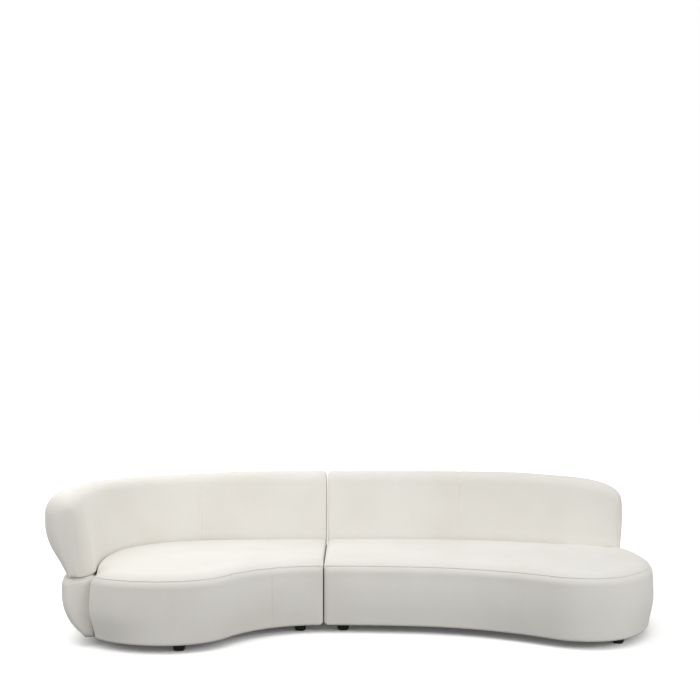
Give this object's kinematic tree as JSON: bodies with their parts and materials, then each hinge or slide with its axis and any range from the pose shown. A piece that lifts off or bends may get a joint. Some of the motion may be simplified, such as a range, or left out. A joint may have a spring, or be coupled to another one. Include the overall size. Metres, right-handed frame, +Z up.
{
  "type": "curved sectional sofa",
  "caption": "Kidney-shaped two-module sofa in cream fabric: a curved seat wrapped by two stacked padded rolls that turn forward into one arm, on low round dark wooden feet.",
  "frame": {"origin": "centre of the bounding box in plan, at floor level under the feet", "axes": "+X along the sofa from the armed end to the open end, +Y to the back, +Z up"},
  "size_m": [3.6025, 1.6874, 0.87],
  "materials": {
    "cover": "fine looped cream upholstery fabric over foam",
    "plywood": "raw birch plywood",
    "dark_wood": "turned beech, stained near black, satin",
    "steel": "zinc-plated steel",
    "felt": "needled grey felt",
    "webbing": "woven elastic webbing",
    "lining": "black non-woven lining"
  },
  "bodies": {
    "left_module": {"base_panel_left": "plywood", "deck_left": "plywood", "front_wall_left": "plywood", "end_board_left": "plywood", "deck_posts_left": "plywood", "springs_left": "steel", "spring_clips_left": "steel", "spring_felt_left": "felt", "back_ribs_left": "plywood", "top_rail_left": "plywood", "waist_rail_left": "plywood", "back_straps_left": "webbing", "dust_cover_left": "lining", "seat_cushion_left": "cover", "seat_border_left": "cover", "end_cover_left": "cover", "lower_roll_left": "cover", "upper_roll_left": "cover", "foot_left_1": "dark_wood", "foot_left_2": "dark_wood", "foot_left_3": "dark_wood", "foot_left_4": "dark_wood", "foot_left_5": "dark_wood", "foot_glides_left": "felt", "foot_bolts_left": "steel", "tee_nuts_left": "steel", "connector_clamps": "steel", "clamp_screws": "steel"},
    "right_module": {"base_panel_right": "plywood", "deck_right": "plywood", "front_wall_right": "plywood", "end_board_right": "plywood", "deck_posts_right": "plywood", "springs_right": "steel", "spring_clips_right": "steel", "spring_felt_right": "felt", "back_ribs_right": "plywood", "top_rail_right": "plywood", "waist_rail_right": "plywood", "back_straps_right": "webbing", "dust_cover_right": "lining", "seat_cushion_right": "cover", "seat_border_right": "cover", "end_cover_right": "cover", "lower_roll_right": "cover", "upper_roll_right": "cover", "foot_right_1": "dark_wood", "foot_right_2": "dark_wood", "foot_right_3": "dark_wood", "foot_right_4": "dark_wood", "foot_right_5": "dark_wood", "foot_glides_right": "felt", "foot_bolts_right": "steel", "tee_nuts_right": "steel", "connector_tongues": "steel", "tongue_screws": "steel"}
  },
  "joints": [
    {"name": "module_slide", "type": "slide", "parent": "left_module", "child": "right_module", "axis": [1, 0, 0], "range_m": [0, 0.045]}
  ]
}
